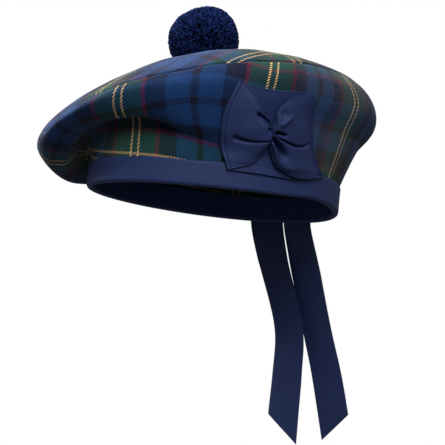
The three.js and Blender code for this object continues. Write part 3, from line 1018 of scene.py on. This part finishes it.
def strandMesh(chance):
    # each strand is a ring at its root, a ring at its cut end and the raised middle of that end
    count, sides = toorie["strands"], toorie["strandSides"]
    ways = unit(evenDirections(count) + chance.normal(0, toorie["scatter"], (count, 3)))
    ends = unit(ways + chance.normal(0, toorie["lean"], (count, 3)))
    trim = np.clip(chance.normal(0, toorie["unevenness"], count), *toorie["trimLimits"])
    clumps = 1.0
    for place, (waves, start) in zip(ways.T, toorie["clumpWaves"]):
        clumps = clumps * np.sin(waves * place + start)
    reach = toorie["radius"] + trim + toorie["clumping"] * np.minimum(clumps, toorie["clumpLimit"])
    for azimuth, elevation, height in toorie["bulges"]:
        apart = np.arccos(np.clip(ways @ np.array(directionFrom(azimuth, elevation)), -1, 1))
        reach = reach + height * hump(apart, toorie["bulgeWidth"])
    shortened = np.minimum(reach, toorie["radius"] - toorie["footTrim"])
    reach = np.where(ways[:, 2] < toorie["footBelow"], shortened, reach)[:, None]
    thick = toorie["strandRadius"] * chance.uniform(*toorie["thickness"], (count, 1, 1))
    tone = chance.uniform(0, 1, count) ** toorie["toneFall"]
    angles = np.arange(sides) / sides * 2 * math.pi + chance.uniform(0, 2 * math.pi, (count, 1))
    rings = ringsAbout(ways, angles) * thick
    root = (ways * toorie["root"])[:, None] + rings * toorie["rootShare"]
    end = (ends * reach)[:, None] + rings
    tip = (ends * (reach + toorie["tip"]))[:, None]
    vertices = np.concatenate([root, end, tip], axis=1).reshape(-1, 3)
    strandFaces = [list(reversed(range(sides)))]
    for side in range(sides):
        after = (side + 1) % sides
        strandFaces.append([side, after, sides + after, sides + side])
        strandFaces.append([sides + side, sides + after, 2 * sides])
    starts = range(0, len(vertices), 2 * sides + 1)
    faces = [[start + corner for corner in face] for start in starts for face in strandFaces]
    uvs = [(own, float(corner >= sides)) for own in tone for face in strandFaces for corner in face]
    return vertices, faces, uvs


def heartMesh():
    columns, rows = toorie["heartGrid"]
    ball = bmesh.new()
    bmesh.ops.create_uvsphere(ball, u_segments=columns, v_segments=rows, radius=toorie["heart"])
    ball.verts.index_update()
    vertices = np.array([vertex.co for vertex in ball.verts])
    faces = [[vertex.index for vertex in face.verts] for face in ball.faces]
    ball.free()
    # every corner sits at the start of the cloth coordinates, so the heart takes the roots' painted
    # shade
    return vertices, faces, [(0.0, 0.0)] * sum(len(face) for face in faces)


def makeToorie():
    chance = np.random.default_rng(toorie["seed"])
    centre = np.array(crown["middle"]) + (0, 0, toorie["radius"] + toorie["gap"])
    meshes = []
    for vertices, faces, uvs in (strandMesh(chance), heartMesh()):
        meshes.append((vertices + centre, faces, uvs))
    newPiece("toorie_strands", "toorie", "toorie_yarn", meshes, sharpAngle=70)


makeToorie()
print("toorie made")

# The tails: each row of sway is height, place to the wearer's left and distance behind the band
tails = {
    "width": 25,
    "innerLength": 181,
    "outerLength": 160,
    "sewn": (14, 7, 1),  # heights at which it lies on the band
    "outward": 5.9,
    "curlFade": 40,
    "wall": 0.6,
    "grid": (25, 110),
    "lineSteps": 40,
    "stitchRows": (2, -4),
    "ripple": 0.9,
    "rippleFade": (20, 90),  # the lengths between which it sets in
    "rippleRun": 27,
    "rippleSlant": 2.2,
    "leftAside": 13,
    "leftSway": [(-24, 15.5, 9), (-76, 21, 32), (-105, 26, 42.3), (-133, 30.6, 49.2), (-170, 35.8, 58)],
    "rightAside": -12.8,
    "rightSway": [(-24, -9, 5.5), (-78, 0.7, 25), (-109, 0.8, 28.6), (-140, -0.5, 31), (-175, -2, 34)],
}


def bandBack(aside):
    share = aside / (head["width"] / 2 + tails["outward"])
    return (head["length"] / 2 + tails["outward"]) * np.sqrt(1 - share * share)


def makeTail(name):
    aside, sway = tails[name + "Aside"], tails[name + "Sway"]
    backY = bandBack(aside)
    points = [(aside, backY, height) for height in tails["sewn"]]
    points += [(place, backY + behind, height) for height, place, behind in sway]
    line = splineThrough(np.array(points, float)[None], tails["lineSteps"])[0]
    columns, rows = tails["grid"]
    side, share = np.meshgrid(np.linspace(-0.5, 0.5, columns), np.linspace(0, 1, rows))
    towardsMiddle = 0.5 - np.sign(aside) * side
    run = share * (tails["outerLength"] + (tails["innerLength"] - tails["outerLength"]) * towardsMiddle)
    grid = readLine(line, runLength(line), run)
    curl = 1 - smoothstep(-grid[..., 2], 0, tails["curlFade"])
    waves = np.sin(run / tails["rippleRun"] + side * tails["rippleSlant"] + aside)
    ripple = tails["ripple"] * smoothstep(run, *tails["rippleFade"]) * waves
    grid[..., 0] += side * tails["width"]
    grid[..., 1] += (bandBack(aside + side * tails["width"]) - backY) * curl + ripple
    mesh = sheetMesh(grid, stacked(run, side * tails["width"]) / mmPerCm, tails["wall"])
    normals = sheetNormals(grid)
    stitches = []
    for row in tails["stitchRows"]:
        stitches += stitchRow(grid[row], normals[row])
    node = "tail_" + name
    return newPiece(node + "_ribbon", node, "navy_ribbon", [mesh], stitches)


tailPieces = [makeTail("left"), makeTail("right")]
print("tails made")

# Studio: a pale floor well below the bonnet, a white surround and soft lights
studio = {
    "floorHeight": -0.75,
    "floorReach": 4.0,
    # as the camera sees it, with a glow that keeps it pale far from the lights
    "floorSurface": {
        "Base Color": (0.86, 0.86, 0.87, 1), "Roughness": 0.9, "Specular IOR Level": 0.2,
        "Emission Color": (0.86, 0.86, 0.87, 1), "Emission Strength": 0.55,
    },
    "floorBounce": (0.12, 0.12, 0.12, 1),
    "surroundHeights": (-0.3, 0.6),
    "surroundStrengths": (0.06, 0.42),
    "target": (0, 0, 0.05),
    # azimuth, elevation, distance, size and power of each light
    "lights": {
        "keyLight": (39, 30, 1.6, 0.9, 24),
        "fillLight": (-58, 56, 2.0, 1.0, 76),
        "sideLight": (-98, 24, 1.6, 0.4, 24),
        "backLight": (200, 55, 1.8, 1.0, 10),
    },
}


def mixByView(tree, output, unseen, seen):
    # one shader where the camera sees it, another for the light that it sends to the bonnet
    path = addNode(tree, "LightPath")
    mixed = addNode(tree, "MixShader")
    feed(tree, mixed.inputs["Fac"], path.outputs["Is Camera Ray"])
    feed(tree, mixed.inputs[1], unseen)
    feed(tree, mixed.inputs[2], seen)
    feed(tree, output.inputs["Surface"], mixed.outputs["Shader"])


def makeFloor():
    reach, height = studio["floorReach"], studio["floorHeight"]
    ways = [(-1, -1), (1, -1), (1, 1), (-1, 1)]
    corners = [(reach * across, reach * along, height) for across, along in ways]
    data = bpy.data.meshes.new("floor")
    data.from_pydata(corners, [], [(0, 1, 2, 3)])
    material, tree, shader = newMaterial("paleFloor", studio["floorSurface"])
    dull = addNode(tree, "BsdfDiffuse")
    dull.inputs["Color"].default_value = studio["floorBounce"]
    mixByView(tree, tree.nodes["Material Output"], dull.outputs["BSDF"], shader.outputs["BSDF"])
    data.materials.append(material)
    floor = addObject("floor", data)


def makeLights():
    for name, (azimuth, elevation, distance, size, power) in studio["lights"].items():
        data = bpy.data.lights.new(name, "AREA")
        data.shape = "DISK"
        data.size = size
        data.energy = power
        light = addObject(name, data)
        way = directionFrom(azimuth, elevation)
        light.location = Vector(studio["target"]) + way * distance
        light.rotation_euler = way.to_track_quat("Z", "Y").to_euler()


def makeSurround():
    # white where the camera sees it; as a light it fades from above to below
    world = bpy.data.worlds.new("surround")
    world.use_nodes = True
    tree = world.node_tree
    shining = tree.nodes["Background"]
    seen = addNode(tree, "Background")
    for background in (shining, seen):
        background.inputs["Color"].default_value = (1, 1, 1, 1)
    place = addNode(tree, "TexCoord")
    split = addNode(tree, "SeparateXYZ")
    fade = addNode(tree, "MapRange")
    feed(tree, split.inputs["Vector"], place.outputs["Generated"])
    settings = (split.outputs["Z"], *studio["surroundHeights"], *studio["surroundStrengths"])
    for socket, value in zip(fade.inputs, settings):
        feed(tree, socket, value)
    feed(tree, shining.inputs["Strength"], fade.outputs["Result"])
    backgrounds = (background.outputs["Background"] for background in (shining, seen))
    mixByView(tree, tree.nodes["World Output"], *backgrounds)
    bpy.context.scene.world = world
    bpy.context.scene.view_settings.view_transform = "Standard"


makeFloor()
makeLights()
makeSurround()
print("studio made")
